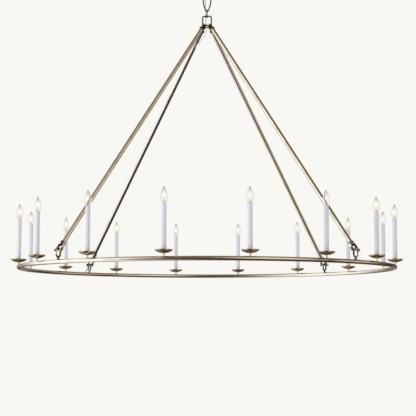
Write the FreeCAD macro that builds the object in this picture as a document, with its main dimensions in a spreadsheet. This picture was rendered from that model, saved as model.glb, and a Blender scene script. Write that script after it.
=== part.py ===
import FreeCAD, Part
import math
import os
import Sketcher

# Single-ring candle chandelier. Lengths are in millimetres and angles in degrees.
# The origin is the middle of the mounting strap, on the ceiling. Up is +Z and the front is -Y.

document = FreeCAD.newDocument("Chandelier")
vector = FreeCAD.Vector

# Dimensions sheet
sheet = document.addObject("Spreadsheet::Sheet", "Dimensions")

DIMENSIONS = [
    # the ring and what stands on it
    ("ring_outer_diameter", "1829"),
    ("ring_tube_diameter", "19"),
    ("ring_tube_wall", "1.5"),
    ("ring_radius", "=(ring_outer_diameter - ring_tube_diameter) / 2"),
    ("ring_tube_radius", "=ring_tube_diameter / 2"),
    ("candle_count", "16"),
    ("rod_count", "4"),
    # ceiling fittings
    ("strap_length", "108"),
    ("strap_width", "24"),
    ("strap_thickness", "3"),
    ("strap_hole_spacing", "88.9"),
    ("strap_hole_radius", "2.5"),
    ("stem_radius", "5"),
    ("stem_top_gap", "0.5"),
    ("stem_engagement", "12"),
    ("stem_nut_width", "17"),
    ("stem_nut_height", "6"),
    ("canopy_radius", "75"),
    ("canopy_depth", "40"),
    ("canopy_lip", "9"),
    ("canopy_wall", "1.5"),
    ("canopy_flat_margin", "7"),
    ("canopy_round", "11"),
    ("canopy_hole_gap", "0.6"),
    ("collar_gap", "0.4"),
    ("loop_collar_width", "7"),
    ("loop_collar_height", "9"),
    ("loop_collar_bevel", "3.6"),
    ("loop_wire_radius", "3"),
    ("loop_bow_radius", "14"),
    ("loop_leg", "12"),
    ("barrel_margin", "1"),
    ("barrel_above_canopy", "14"),
    ("barrel_below_collar", "5"),
    ("barrel_thread_spare", "6"),
    ("barrel_radius", "=loop_bow_radius + loop_wire_radius + barrel_margin"),
    ("barrel_top", "=canopy_depth - barrel_above_canopy"),
    ("barrel_bottom", "=canopy_depth + loop_collar_height + barrel_below_collar"),
    ("barrel_thread_depth", "=stem_engagement + barrel_thread_spare"),
    ("stem_bottom", "=barrel_top + stem_engagement"),
    ("loop_collar_radius", "=barrel_radius + loop_collar_width"),
    ("canopy_flat_radius", "=loop_collar_radius + canopy_flat_margin"),
    # hanging links, each bent from round wire
    ("loop_bow_drop", "=barrel_bottom + loop_leg + loop_bow_radius"),
    ("hook_gap", "0.3"),
    ("link_wire_radius", "3.2"),
    ("link_length", "130"),
    ("link_half_width", "19.5"),
    ("link_bow_radius", "8"),
    ("link_bow_offset", "=link_length / 2 - link_bow_radius"),
    (
        "link_side_radius",
        "=(link_half_width ^ 2 + link_bow_offset ^ 2 - link_bow_radius ^ 2)"
        " / (2 * (link_half_width - link_bow_radius))",
    ),
    (
        "link_bow_x",
        "=link_bow_radius * (link_side_radius - link_half_width) / (link_side_radius - link_bow_radius)",
    ),
    (
        "link_bow_z",
        "=link_bow_offset + link_bow_radius * link_bow_offset / (link_side_radius - link_bow_radius)",
    ),
    ("link_top_drop", "=loop_bow_drop - loop_wire_radius - link_wire_radius - hook_gap"),
    ("link_bottom_drop", "=link_top_drop + link_length"),
    ("joiner_wire_radius", "3"),
    ("joiner_length", "39"),
    ("joiner_half_width", "10"),
    ("joiner_top_drop", "=link_bottom_drop - link_wire_radius - joiner_wire_radius - hook_gap"),
    ("joiner_bottom_drop", "=joiner_top_drop + joiner_length"),
    # stirrup that carries the rods
    ("stirrup_wire_radius", "3.2"),
    ("stirrup_half_width", "21.5"),
    ("stirrup_corner", "9"),
    ("stirrup_height", "51"),
    ("stirrup_ring_wire_radius", "3.5"),
    (
        "stirrup_top_drop",
        "=joiner_bottom_drop - joiner_wire_radius - stirrup_wire_radius - hook_gap",
    ),
    ("stirrup_ring_drop", "=stirrup_top_drop + stirrup_height"),
    # rods
    ("rod_rise", "1156"),
    ("ring_eye_rise", "40.5"),
    ("pin_height", "=ring_tube_radius + ring_eye_rise"),
    ("ring_drop", "=stirrup_ring_drop + rod_rise + pin_height"),
    ("rod_run", "=ring_radius - stirrup_half_width"),
    ("rod_span", "=sqrt(rod_run ^ 2 + rod_rise ^ 2)"),
    ("rod_lean", "=atan2(rod_run; rod_rise) / 1deg"),
    ("rod_radius", "9.5"),
    ("rod_wall", "1.5"),
    ("rod_bore_radius", "=rod_radius - rod_wall"),
    ("rod_bottom", "36"),
    ("rod_top_gap", "27"),
    ("top_eye_radius", "9"),
    ("top_eye_wire_radius", "2.9"),
    ("top_eye_neck_radius", "4"),
    ("top_eye_slack", "=top_eye_radius - top_eye_wire_radius - stirrup_ring_wire_radius"),
    ("top_collar_lip", "3"),
    ("top_collar_radius", "=rod_radius + top_collar_lip"),
    ("top_collar_height", "9"),
    ("spigot_length", "20"),
    ("rod_collar_lip", "3.5"),
    ("rod_collar_radius", "=rod_radius + rod_collar_lip"),
    ("rod_collar_height", "9"),
    ("rod_collar_groove_width", "2"),
    ("rod_collar_groove_depth", "1.2"),
    ("yoke_width", "40"),
    ("yoke_gap", "30"),
    ("yoke_depth", "10"),
    ("yoke_bridge", "8"),
    ("yoke_end", "6.5"),
    ("yoke_round", "4.5"),
    ("edge_bevel", "2"),
    ("pin_radius", "3"),
    ("pin_head_radius", "6"),
    ("pin_head_height", "4"),
    ("pin_tail", "6.5"),
    ("pin_nut_width", "11"),
    ("pin_nut_height", "5"),
    ("ring_eye_half_width", "10.5"),
    ("ring_eye_wire_radius", "4"),
    ("ring_eye_stem_radius", "4.5"),
    ("ring_eye_stem_length", "4"),
    ("ring_eye_flange_radius", "7.5"),
    ("ring_eye_flange_height", "3"),
    ("ring_eye_seat_depth", "4.5"),
    ("ring_eye_stud_length", "7.5"),
    ("ring_eye_flange_top", "=ring_tube_radius + ring_eye_flange_height"),
    ("ring_eye_flange_bottom", "=ring_tube_radius - ring_eye_seat_depth"),
    ("ring_eye_stud_bottom", "=ring_tube_radius - ring_eye_stud_length"),
    ("ring_eye_top", "=pin_height + pin_radius + ring_eye_wire_radius"),
    ("ring_eye_bottom", "=ring_eye_flange_top + ring_eye_stem_length + ring_eye_wire_radius"),
    ("ring_eye_length", "=ring_eye_top - ring_eye_bottom"),
    ("ring_eye_height", "=(ring_eye_top + ring_eye_bottom) / 2"),
    # candles, heights above the middle of the ring tube
    ("neck_radius", "4"),
    ("neck_bore_radius", "2"),
    ("neck_engagement", "7.5"),
    ("neck_bottom", "=ring_tube_radius - neck_engagement"),
    ("neck_flange_height", "2"),
    ("neck_height", "12"),
    ("pan_floor_thickness", "5"),
    ("pan_depth", "15"),
    ("pan_bottom", "=ring_tube_radius + neck_height"),
    ("pan_floor", "=pan_bottom + pan_floor_thickness"),
    ("pan_rim", "=pan_bottom + pan_depth"),
    ("pan_radius", "36"),
    ("pan_boss_radius", "6"),
    ("pan_floor_radius", "12"),
    ("pan_lip", "1.4"),
    ("pan_rim_height", "4.5"),
    ("pan_curve", "62"),
    ("nipple_radius", "3.5"),
    ("nipple_length", "10.5"),
    ("nipple_top", "=pan_floor + nipple_length"),
    ("sleeve_radius", "10.75"),
    ("sleeve_wall", "1.2"),
    ("sleeve_length", "200"),
    ("sleeve_top", "=pan_floor + sleeve_length"),
    ("holder_base_radius", "8"),
    ("holder_base_height", "12"),
    ("holder_stem_radius", "4.5"),
    ("holder_cup_gap", "0.65"),
    ("holder_cup_height", "50"),
    ("holder_recess", "4.5"),
    ("holder_bore_radius", "6.3"),
    ("holder_bore_depth", "22.5"),
    ("holder_floor", "5"),
    ("holder_cup_radius", "=sleeve_radius - sleeve_wall - holder_cup_gap"),
    ("holder_cup_top", "=sleeve_top - holder_recess"),
    ("holder_cup_bottom", "=holder_cup_top - holder_cup_height"),
    ("holder_bore_bottom", "=holder_cup_top - holder_bore_depth"),
    ("bulb_base_gap", "0.35"),
    ("bulb_base_radius", "=holder_bore_radius - bulb_base_gap"),
    ("bulb_contact_radius", "3.4"),
    ("bulb_contact_height", "3"),
    ("bulb_base_proud", "1.5"),
    ("bulb_neck_rise", "2.5"),
    ("bulb_belly_rise", "24.5"),
    ("bulb_tip_rise", "46.5"),
    ("bulb_base_top", "=holder_cup_top + bulb_base_proud"),
    ("bulb_neck_height", "=bulb_base_top + bulb_neck_rise"),
    ("bulb_belly_height", "=bulb_neck_height + bulb_belly_rise"),
    ("bulb_tip_height", "=bulb_belly_height + bulb_tip_rise"),
    ("bulb_neck_radius", "7"),
    ("bulb_radius", "16"),
    ("bulb_tip_radius", "1.2"),
    ("bulb_wall", "0.8"),
    ("bulb_belly", "=bulb_radius - bulb_wall"),
    ("bulb_tip_bore", "0.5"),
    (
        "bulb_upper_curve",
        "=((bulb_radius - bulb_tip_radius) ^ 2 + (bulb_tip_height - bulb_belly_height) ^ 2)"
        " / (2 * (bulb_radius - bulb_tip_radius))",
    ),
    (
        "bulb_lower_curve",
        "=((bulb_radius - bulb_neck_radius) ^ 2 + (bulb_belly_height - bulb_neck_height) ^ 2)"
        " / (2 * (bulb_radius - bulb_neck_radius))",
    ),
    (
        "bulb_upper_bore",
        "=((bulb_belly - bulb_tip_bore) ^ 2 + (bulb_tip_height - bulb_wall - bulb_belly_height) ^ 2)"
        " / (2 * (bulb_belly - bulb_tip_bore))",
    ),
    (
        "bulb_lower_bore",
        "=((bulb_radius - bulb_neck_radius) ^ 2"
        " + (bulb_belly_height - bulb_neck_height - bulb_wall) ^ 2)"
        " / (2 * (bulb_radius - bulb_neck_radius))",
    ),
    # supply cord and ring lead
    ("cord_radius", "2.4"),
    ("cord_stem_gap", "1"),
    ("stem_bore_radius", "=cord_radius + cord_stem_gap"),
    ("lead_radius", "1.75"),
    ("lead_hole_gap", "0.35"),
    ("lead_hole_radius", "=lead_radius + lead_hole_gap"),
    ("lead_side", "26"),
    ("slot_gap", "1.2"),
    ("slot_width", "=cord_radius * 2 + slot_gap"),
    ("cord_slot_middle", "102"),
    ("cord_slot_length", "44"),
    ("cord_top_drop", "2.5"),
    ("cord_stem_offset", "0.3"),
    ("cord_stem_drop", "29"),
    ("cord_barrel_drop", "56"),
    ("cord_offset", "8"),
    ("cord_loop_drop", "78"),
    ("cord_upper_bow", "8.4"),
    ("cord_upper_bow_drop", "108.5"),
    ("cord_middle_bow", "8.5"),
    ("cord_middle_bow_drop", "177.5"),
    ("cord_stirrup_offset", "5.6"),
    ("cord_stirrup_rise", "16"),
    ("cord_dip_offset", "2.8"),
    ("cord_dip", "34"),
    ("cord_slack_offset", "32.5"),
    ("cord_slack", "70.5"),
    ("cord_join", "120"),
    ("cord_tail", "45"),
    ("lead_slot_middle", "99"),
    ("lead_slot_length", "26"),
    ("lead_start", "130"),
    ("lead_leave", "108"),
    ("lead_bow_depth", "26"),
    ("lead_bow_side", "2"),
    ("lead_bow_height", "62"),
    ("lead_foot_depth", "25"),
    ("lead_foot_side", "18"),
    ("lead_foot_height", "36"),
    ("lead_drop_height", "18"),
    ("lead_end_height", "3"),
]

for row, (alias, value) in enumerate(DIMENSIONS, start=1):
    sheet.set("A%d" % row, alias)
    sheet.set("B%d" % row, value)
    sheet.setAlias("B%d" % row, alias)
document.recompute()


def size(expression):
    """The value of an expression in the sheet's own names."""
    result = sheet.evalExpression(expression)
    return float(getattr(result, "Value", result))


def bound(expression):
    """The same expression as another object has to write it."""
    parts = []
    word = ""
    for character in expression + " ":
        if character.isalnum() or character == "_":
            word += character
            continue
        parts.append("Dimensions." + word if word in ALIASES else word)
        parts.append(character)
        word = ""
    return "".join(parts).strip()


ALIASES = {alias for alias, value in DIMENSIONS}


# Sketch helpers
def new_body(name):
    return document.addObject("PartDesign::Body", name)


def new_sketch(body, name, role):
    sketch = body.newObject("Sketcher::SketchObject", name)
    for feature in body.Origin.OriginFeatures:
        if feature.Role == role:
            sketch.AttachmentSupport = (feature, "")
    sketch.MapMode = "FlatFace"
    return sketch


def tie(sketch, geometry, point, direction, expression):
    """Holds one coordinate of a sketch point at an expression."""
    value = size(expression)
    if abs(value) < 1e-9:
        axis = -2 if direction == "DistanceX" else -1
        sketch.addConstraint(Sketcher.Constraint("PointOnObject", geometry, point, axis))
        return
    number = sketch.addConstraint(Sketcher.Constraint(direction, -1, 1, geometry, point, value))
    sketch.setExpression("Constraints[%d]" % number, bound(expression))


def draw_arc(sketch, start, end, radius, turn):
    """Adds the arc of under half a turn from start to end. A turn of 1 runs anticlockwise, -1 clockwise."""
    chord = end - start
    middle = (start + end) * 0.5
    height = math.sqrt(max(radius ** 2 - chord.Length ** 2 / 4, 0.0))
    across = vector(-chord.y, chord.x, 0).normalize()
    centre = middle + across * (height * turn)
    first, last = (start, end) if turn > 0 else (end, start)
    first_angle = math.atan2(first.y - centre.y, first.x - centre.x)
    last_angle = math.atan2(last.y - centre.y, last.x - centre.x)
    circle = Part.Circle(centre, vector(0, 0, 1), radius)
    return sketch.addGeometry(Part.ArcOfCircle(circle, first_angle, last_angle), False)


def draw_outline(sketch, corners, closed=True):
    """Draws straight and curved edges through corners, each (x, y) or (x, y, radius, turn) as expressions.

    A corner with a radius starts a curved edge. Every corner and radius stays tied to the sheet.
    A half circle has its middle tied level with its ends, which fixes its radius.
    """
    points = [vector(size(corner[0]), size(corner[1]), 0) for corner in corners]
    edges = []
    half_circles = []
    for number, corner in enumerate(corners if closed else corners[:-1]):
        start = points[number]
        end = points[(number + 1) % len(points)]
        if len(corner) == 2:
            edge = sketch.addGeometry(Part.LineSegment(start, end), False)
            edges.append((edge, 1, 2))
            continue
        radius = size(corner[2])
        edge = draw_arc(sketch, start, end, radius, corner[3])
        edges.append((edge, 1, 2) if corner[3] > 0 else (edge, 2, 1))
        if abs((end - start).Length - 2 * radius) < 1e-6:
            half_circles.append((edge, corner[1]))
            continue
        limit = sketch.addConstraint(Sketcher.Constraint("Radius", edge, radius))
        sketch.setExpression("Constraints[%d]" % limit, bound(corner[2]))
    for number, (edge, first, last) in enumerate(edges):
        if closed or number + 1 < len(edges):
            following = edges[(number + 1) % len(edges)]
            sketch.addConstraint(Sketcher.Constraint("Coincident", edge, last, following[0], following[1]))
        tie(sketch, edge, first, "DistanceX", corners[number][0])
        tie(sketch, edge, first, "DistanceY", corners[number][1])
    for edge, level_line in half_circles:
        tie(sketch, edge, 3, "DistanceY", level_line)
    if not closed:
        tie(sketch, edges[-1][0], edges[-1][2], "DistanceX", corners[-1][0])
        tie(sketch, edges[-1][0], edges[-1][2], "DistanceY", corners[-1][1])


def draw_circle(sketch, x, y, radius):
    centre = vector(size(x), size(y), 0)
    circle = sketch.addGeometry(Part.Circle(centre, vector(0, 0, 1), size(radius)), False)
    limit = sketch.addConstraint(Sketcher.Constraint("Radius", circle, size(radius)))
    sketch.setExpression("Constraints[%d]" % limit, bound(radius))
    tie(sketch, circle, 3, "DistanceX", x)
    tie(sketch, circle, 3, "DistanceY", y)


def rectangle(x0, y0, x1, y1):
    return [(x0, y0), (x1, y0), (x1, y1), (x0, y1)]


# Feature helpers
def origin_feature(body, role):
    return [feature for feature in body.Origin.OriginFeatures if feature.Role == role][0]


def revolve(body, name, corners, kind="Revolution", role="XZ_Plane", axis="Z_Axis"):
    sketch = new_sketch(body, name + "_profile", role)
    draw_outline(sketch, corners)
    feature = body.newObject("PartDesign::" + kind, name)
    feature.Profile = sketch
    feature.ReferenceAxis = (origin_feature(body, axis), [""])
    feature.Angle = 360.0
    body.Tip = feature
    return feature


def revolve_circle(body, name, x, y, radius, axis="Z_Axis", role="XZ_Plane"):
    sketch = new_sketch(body, name + "_profile", role)
    draw_circle(sketch, x, y, radius)
    feature = body.newObject("PartDesign::Revolution", name)
    feature.Profile = sketch
    feature.ReferenceAxis = (origin_feature(body, axis), [""])
    feature.Angle = 360.0
    body.Tip = feature
    return feature


def pad(body, sketch, name, length, reverse=False, middle=False):
    feature = body.newObject("PartDesign::Pad", name)
    feature.Profile = sketch
    feature.setExpression("Length", bound(length))
    feature.Reversed = reverse
    feature.Midplane = middle
    body.Tip = feature
    return feature


def pocket(body, sketch, name, length, reverse=False, middle=False):
    feature = body.newObject("PartDesign::Pocket", name)
    feature.Profile = sketch
    feature.setExpression("Length", bound(length))
    feature.Reversed = reverse
    feature.Midplane = middle
    body.Tip = feature
    return feature


def bend_wire(body, name, corners, radius, role, closed):
    """Sweeps a round wire along corners. The route starts by crossing the XY plane straight up or down."""
    route = new_sketch(body, name + "_route", role)
    draw_outline(route, corners, closed)
    section = new_sketch(body, name + "_section", "XY_Plane")
    if role == "XZ_Plane":
        draw_circle(section, corners[0][0], "0", radius)
    else:
        draw_circle(section, "0", corners[0][0], radius)
    document.recompute()
    feature = body.newObject("PartDesign::AdditivePipe", name)
    feature.Profile = section
    feature.Spine = (route, [])
    body.Tip = feature
    return feature


def place(thing, x="0", y="0", z="0"):
    """Puts a sub-part at expressions in the sheet's names."""
    for direction, expression in (("x", x), ("y", y), ("z", z)):
        thing.setExpression(".Placement.Base." + direction, bound(expression))


NODES = {}


def node(label, thing):
    thing.Label = label
    NODES[label] = thing


def copies(label, master, placements):
    """One node holding a linked copy of a master piece at each placement."""
    links = []
    for number, placement in enumerate(placements, start=1):
        link = document.addObject("App::Link", "%s_copy_%d" % (label, number))
        link.LinkedObject = master
        link.Placement = placement
        links.append(link)
    group = document.addObject("Part::Compound", label + "_group")
    group.Links = links
    node(label, group)


# Mounting strap, threaded stem and nut
strap = new_body("Strap")
outline = new_sketch(strap, "strap_outline", "XY_Plane")
draw_outline(
    outline,
    rectangle("-strap_length / 2", "-strap_width / 2", "strap_length / 2", "strap_width / 2"),
)
draw_circle(outline, "-strap_hole_spacing / 2", "0", "strap_hole_radius")
draw_circle(outline, "strap_hole_spacing / 2", "0", "strap_hole_radius")
draw_circle(outline, "0", "0", "stem_radius")
pad(strap, outline, "strap_plate", "strap_thickness", reverse=True)
node("mounting_strap", strap)

stem = new_body("Stem")
outline = new_sketch(stem, "stem_outline", "XY_Plane")
draw_circle(outline, "0", "0", "stem_radius")
draw_circle(outline, "0", "0", "stem_bore_radius")
pad(stem, outline, "stem_tube", "stem_bottom - stem_top_gap", reverse=True)
place(stem, z="-stem_top_gap")
node("threaded_stem", stem)


def hexagon(width):
    """The corners of a hexagon from its width across the flats."""
    corners = []
    for number in range(6):
        turn = "%d deg" % (60 * number + 30)
        reach = "%s / sqrt(3)" % width
        corners.append(("%s * cos(%s)" % (reach, turn), "%s * sin(%s)" % (reach, turn)))
    return corners


nut = new_body("StemNut")
outline = new_sketch(nut, "stem_nut_outline", "XY_Plane")
draw_outline(outline, hexagon("stem_nut_width"))
draw_circle(outline, "0", "0", "stem_radius")
pad(nut, outline, "stem_nut_block", "stem_nut_height", reverse=True)
place(nut, z="-strap_thickness")
node("stem_nut", nut)

# Canopy, its loop and the collar that holds it up
canopy = new_body("Canopy")
revolve(
    canopy,
    "canopy_shell",
    [
        ("canopy_radius - canopy_wall", "0"),
        ("canopy_radius", "0"),
        ("canopy_radius", "-canopy_lip"),
        ("canopy_flat_radius", "-canopy_depth"),
        ("barrel_radius + canopy_hole_gap", "-canopy_depth"),
        ("barrel_radius + canopy_hole_gap", "canopy_wall - canopy_depth"),
        ("canopy_flat_radius - canopy_wall / 2", "canopy_wall - canopy_depth"),
        ("canopy_radius - canopy_wall", "canopy_wall / 2 - canopy_lip"),
    ],
)
document.recompute()


def round_edges(body, name, radius, chosen):
    """Rounds the tip's edges that a test picks."""
    tip = body.Tip
    names = []
    for number, edge in enumerate(tip.Shape.Edges, start=1):
        if chosen(edge):
            names.append("Edge%d" % number)
    feature = body.newObject("PartDesign::Fillet", name)
    feature.Base = (tip, names)
    feature.setExpression("Radius", bound(radius))
    body.Tip = feature
    document.recompute()


def is_shoulder(edge):
    """True for the round edges between the canopy's lip, cone and flat."""
    if not isinstance(edge.Curve, Part.Circle):
        return False
    drop = -edge.Curve.Center.z
    wide = edge.Curve.Radius > size("canopy_flat_radius - canopy_wall")
    return wide and drop > size("canopy_lip / 2")


round_edges(canopy, "canopy_rounding", "canopy_round", is_shoulder)
node("canopy", canopy)

collar = new_body("LoopCollar")
revolve(
    collar,
    "collar_ring",
    [
        ("barrel_radius + collar_gap", "-canopy_depth"),
        ("loop_collar_radius", "-canopy_depth"),
        ("loop_collar_radius", "loop_collar_bevel - canopy_depth - loop_collar_height"),
        ("loop_collar_radius - loop_collar_bevel", "-canopy_depth - loop_collar_height"),
        ("barrel_radius + collar_gap", "-canopy_depth - loop_collar_height"),
    ],
)
node("loop_collar", collar)

loop = new_body("CanopyLoop")
bend_wire(
    loop,
    "loop_bow",
    [
        ("loop_bow_radius", "0"),
        ("loop_bow_radius", "-loop_leg", "loop_bow_radius", -1),
        ("-loop_bow_radius", "-loop_leg"),
        ("-loop_bow_radius", "0"),
    ],
    "loop_wire_radius",
    "YZ_Plane",
    closed=False,
)
revolve(
    loop,
    "loop_barrel",
    [
        ("stem_radius", "barrel_bottom - barrel_top"),
        ("barrel_radius", "barrel_bottom - barrel_top"),
        ("barrel_radius", "0"),
        ("stem_bore_radius", "0"),
        ("stem_bore_radius", "barrel_bottom - barrel_top - barrel_thread_depth"),
        ("stem_radius", "barrel_bottom - barrel_top - barrel_thread_depth"),
    ],
)
place(loop, z="-barrel_bottom")
node("canopy_loop", loop)

# Long chain link and connecting link
long_link = new_body("LongLink")
bend_wire(
    long_link,
    "long_link_wire",
    [
        ("link_half_width", "0", "link_side_radius", 1),
        ("link_bow_x", "link_bow_z", "link_bow_radius", 1),
        ("-link_bow_x", "link_bow_z", "link_side_radius", 1),
        ("-link_half_width", "0", "link_side_radius", 1),
        ("-link_bow_x", "-link_bow_z", "link_bow_radius", 1),
        ("link_bow_x", "-link_bow_z", "link_side_radius", 1),
    ],
    "link_wire_radius",
    "XZ_Plane",
    closed=True,
)
place(long_link, z="-link_top_drop - link_length / 2")
node("long_link", long_link)

joiner = new_body("ConnectingLink")
bend_wire(
    joiner,
    "joiner_wire",
    [
        ("joiner_half_width", "0"),
        ("joiner_half_width", "joiner_length / 2 - joiner_half_width", "joiner_half_width", 1),
        ("-joiner_half_width", "joiner_length / 2 - joiner_half_width"),
        ("-joiner_half_width", "joiner_half_width - joiner_length / 2", "joiner_half_width", 1),
        ("joiner_half_width", "joiner_half_width - joiner_length / 2"),
    ],
    "joiner_wire_radius",
    "YZ_Plane",
    closed=True,
)
place(joiner, z="-joiner_top_drop - joiner_length / 2")
node("connecting_link", joiner)

# Stirrup: an upright bow on a flat ring
stirrup = new_body("Stirrup")
bend_wire(
    stirrup,
    "stirrup_bow",
    [
        ("stirrup_half_width", "0"),
        ("stirrup_half_width", "stirrup_height - stirrup_corner", "stirrup_corner", 1),
        ("stirrup_half_width - stirrup_corner", "stirrup_height"),
        ("stirrup_corner - stirrup_half_width", "stirrup_height", "stirrup_corner", 1),
        ("-stirrup_half_width", "stirrup_height - stirrup_corner"),
        ("-stirrup_half_width", "0"),
    ],
    "stirrup_wire_radius",
    "XZ_Plane",
    closed=False,
)
revolve_circle(stirrup, "stirrup_ring", "stirrup_half_width", "0", "stirrup_ring_wire_radius")
place(stirrup, z="-stirrup_ring_drop")
node("hanging_stirrup", stirrup)

# Where each rod and candle stands
ring_drop = size("ring_drop")
ring_radius = size("ring_radius")
rod_step = 360.0 / size("rod_count")
candle_step = 360.0 / size("candle_count")
up = vector(0, 0, 1)
lean = FreeCAD.Rotation(vector(0, 1, 0), -size("rod_lean"))
level = FreeCAD.Rotation()


def around(angle, height, turn):
    """A place on the ring's centre line, at an angle round the ring and a height above it."""
    swing = FreeCAD.Rotation(up, angle)
    spot = swing.multVec(vector(ring_radius, 0, 0)) + vector(0, 0, height - ring_drop)
    return FreeCAD.Placement(spot, swing.multiply(turn))


# Rods run in the order far right, far left, near left, near right.
rod_angles = [rod_step * (number + 0.5) for number in range(int(size("rod_count")))]
candle_angles = [candle_step * (number + 0.5) for number in range(int(size("candle_count")))]
rod_places = [around(angle, size("pin_height"), lean) for angle in rod_angles]
eye_places = [around(angle, 0.0, level) for angle in rod_angles]
candle_places = [around(angle, 0.0, level) for angle in candle_angles]

# Rods, each drawn upright from its lower pin. The far left one carries the wiring.
ROD_NAMES = ["rod_far_right", "rod_far_left", "rod_near_left", "rod_near_right"]


def slot_corners(middle, length):
    half = "%s / 2" % length
    return rectangle(
        "-slot_width / 2",
        "%s - %s" % (middle, half),
        "slot_width / 2",
        "%s + %s" % (middle, half),
    )


for name, placement in zip(ROD_NAMES, rod_places):
    rod = new_body(name + "_body")
    outline = new_sketch(rod, name + "_outline", "XY_Plane")
    draw_circle(outline, "0", "0", "rod_radius")
    draw_circle(outline, "0", "0", "rod_bore_radius")
    pad(rod, outline, name + "_tube", "rod_span - rod_bottom - rod_top_gap")
    if name == "rod_far_left":
        slots = new_sketch(rod, name + "_slots", "YZ_Plane")
        top = "(rod_span - rod_bottom - cord_slot_middle)"
        draw_outline(slots, slot_corners(top, "cord_slot_length"))
        draw_outline(slots, slot_corners("(lead_slot_middle - rod_bottom)", "lead_slot_length"))
        document.recompute()
        pocket(rod, slots, name + "_openings", "rod_radius * 2")
    rod.Placement = placement.multiply(FreeCAD.Placement(vector(0, 0, size("rod_bottom")), level))
    node(name, rod)

# Eye and collar at each rod's upper end, drawn from the middle of the eye
top_eye = new_body("TopEye")
rod_top = "(top_eye_slack - rod_top_gap)"
revolve(
    top_eye,
    "top_eye_shank",
    [
        ("0", rod_top + " - spigot_length"),
        ("rod_bore_radius", rod_top + " - spigot_length"),
        ("rod_bore_radius", rod_top),
        ("top_collar_radius", rod_top),
        ("top_collar_radius", rod_top + " + top_collar_height - edge_bevel"),
        ("top_collar_radius - edge_bevel", rod_top + " + top_collar_height"),
        ("top_eye_neck_radius", rod_top + " + top_collar_height"),
        ("top_eye_neck_radius", "-top_eye_radius"),
        ("0", "-top_eye_radius"),
    ],
)
revolve_circle(
    top_eye, "top_eye_ring", "top_eye_radius", "0", "top_eye_wire_radius", axis="Y_Axis", role="XY_Plane"
)


def along(placements, x="0", y="0", z="0"):
    """The same placements moved along their own directions."""
    step = FreeCAD.Placement(vector(size(x), size(y), size(z)), level)
    return [placement.multiply(step) for placement in placements]


copies("rod_top_eyes", top_eye, along(rod_places, z="rod_span - top_eye_slack"))

# Grooved collar, yoke, pin and nut at each rod's lower end, drawn from the pin
rod_collar = new_body("RodCollar")
groove_low = "rod_bottom + rod_collar_height / 2 - rod_collar_groove_width / 2"
groove_high = "rod_bottom + rod_collar_height / 2 + rod_collar_groove_width / 2"
collar_top = "rod_bottom + rod_collar_height"
revolve(
    rod_collar,
    "rod_collar_ring",
    [
        ("rod_radius", "rod_bottom"),
        ("rod_collar_radius - edge_bevel / 2", "rod_bottom"),
        ("rod_collar_radius", "rod_bottom + edge_bevel / 2"),
        ("rod_collar_radius", groove_low),
        ("rod_collar_radius - rod_collar_groove_depth", groove_low),
        ("rod_collar_radius - rod_collar_groove_depth", groove_high),
        ("rod_collar_radius", groove_high),
        ("rod_collar_radius", collar_top + " - edge_bevel"),
        ("rod_collar_radius - edge_bevel", collar_top),
        ("rod_radius", collar_top),
    ],
)
copies("rod_collars", rod_collar, rod_places)

yoke = new_body("RodYoke")
outline = new_sketch(yoke, "yoke_outline", "YZ_Plane")
draw_outline(
    outline,
    [
        ("-yoke_width / 2", "-yoke_end"),
        ("-yoke_gap / 2", "-yoke_end"),
        ("-yoke_gap / 2", "rod_bottom - yoke_bridge"),
        ("yoke_gap / 2", "rod_bottom - yoke_bridge"),
        ("yoke_gap / 2", "-yoke_end"),
        ("yoke_width / 2", "-yoke_end"),
        ("yoke_width / 2", "rod_bottom"),
        ("-yoke_width / 2", "rod_bottom"),
    ],
)
pad(yoke, outline, "yoke_block", "yoke_depth", middle=True)
outline = new_sketch(yoke, "yoke_hole_outline", "XZ_Plane")
draw_circle(outline, "0", "0", "pin_radius")
pocket(yoke, outline, "yoke_holes", "yoke_width * 2", middle=True)
document.recompute()


def is_yoke_corner(edge):
    """True for the short straight edges at the leg tips and on the bridge's shoulders."""
    if not isinstance(edge.Curve, Part.Line):
        return False
    middle = edge.CenterOfMass
    runs_across_tip = abs(edge.tangentAt(edge.FirstParameter).y) > 0.9 and middle.z < 0
    runs_along_depth = abs(edge.tangentAt(edge.FirstParameter).x) > 0.9
    on_shoulder = abs(abs(middle.y) - size("yoke_width / 2")) < 0.1 and middle.z > 0
    return runs_across_tip or (runs_along_depth and on_shoulder)


round_edges(yoke, "yoke_rounding", "yoke_round", is_yoke_corner)
revolve(
    yoke,
    "yoke_disc",
    [
        ("0", "rod_bottom - yoke_bridge"),
        ("rod_collar_radius - edge_bevel", "rod_bottom - yoke_bridge"),
        ("rod_collar_radius", "rod_bottom - yoke_bridge + edge_bevel"),
        ("rod_collar_radius", "rod_bottom"),
        ("rod_bore_radius", "rod_bottom"),
        ("rod_bore_radius", "rod_bottom + spigot_length"),
        ("0", "rod_bottom + spigot_length"),
    ],
)
copies("rod_yokes", yoke, rod_places)

pin = new_body("YokePin")
revolve(
    pin,
    "pin_shaft",
    [
        ("0", "-yoke_width / 2 - pin_head_height"),
        ("pin_head_radius", "-yoke_width / 2 - pin_head_height"),
        ("pin_head_radius", "-yoke_width / 2"),
        ("pin_radius", "-yoke_width / 2"),
        ("pin_radius", "yoke_width / 2 + pin_tail"),
        ("0", "yoke_width / 2 + pin_tail"),
    ],
    role="XY_Plane",
    axis="Y_Axis",
)
copies("yoke_pins", pin, rod_places)

pin_nut = new_body("PinNut")
outline = new_sketch(pin_nut, "pin_nut_outline", "XZ_Plane")
draw_outline(outline, hexagon("pin_nut_width"))
draw_circle(outline, "0", "0", "pin_radius")
pad(pin_nut, outline, "pin_nut_block", "pin_nut_height", reverse=True)
copies("pin_nuts", pin_nut, along(rod_places, y="yoke_width / 2"))

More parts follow.
